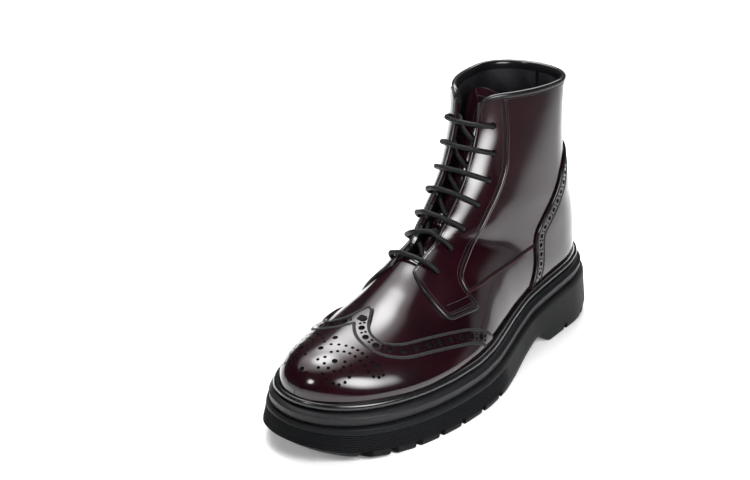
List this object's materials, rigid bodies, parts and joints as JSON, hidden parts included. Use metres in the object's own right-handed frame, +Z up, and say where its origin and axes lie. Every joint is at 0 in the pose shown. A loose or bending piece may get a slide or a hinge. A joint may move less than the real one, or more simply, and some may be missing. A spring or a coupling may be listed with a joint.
{
  "type": "platform ankle boot",
  "caption": "Lace-up leather ankle boot with a brogued winged toe cap, tall eyelet facings and a thick ribbed rubber platform sole with a raised heel.",
  "frame": {"origin": "centre of the sole's outline on the floor, in the middle of the bounding box's underside", "axes": "+Z up, -Y towards the toe, +X towards the outer side of this left boot"},
  "size_m": [0.1208, 0.308, 0.192],
  "materials": {
    "upper_leather": "polished oxblood leather",
    "lining_leather": "soft black leather",
    "sole_rubber": "satin black rubber",
    "welt_gloss": "glossy black rubber",
    "lace_cord": "round waxed black cord"
  },
  "bodies": {
    "root": {"outsole": "sole_rubber", "midsole": "sole_rubber", "welt": "welt_gloss", "insole": "lining_leather", "upper": "upper_leather", "wing_cap": "upper_leather", "counter": "upper_leather", "facing_lateral": "upper_leather", "facing_medial": "upper_leather", "collar_binding": "lining_leather", "tongue": "upper_leather", "lace": "lace_cord"}
  },
  "joints": []
}
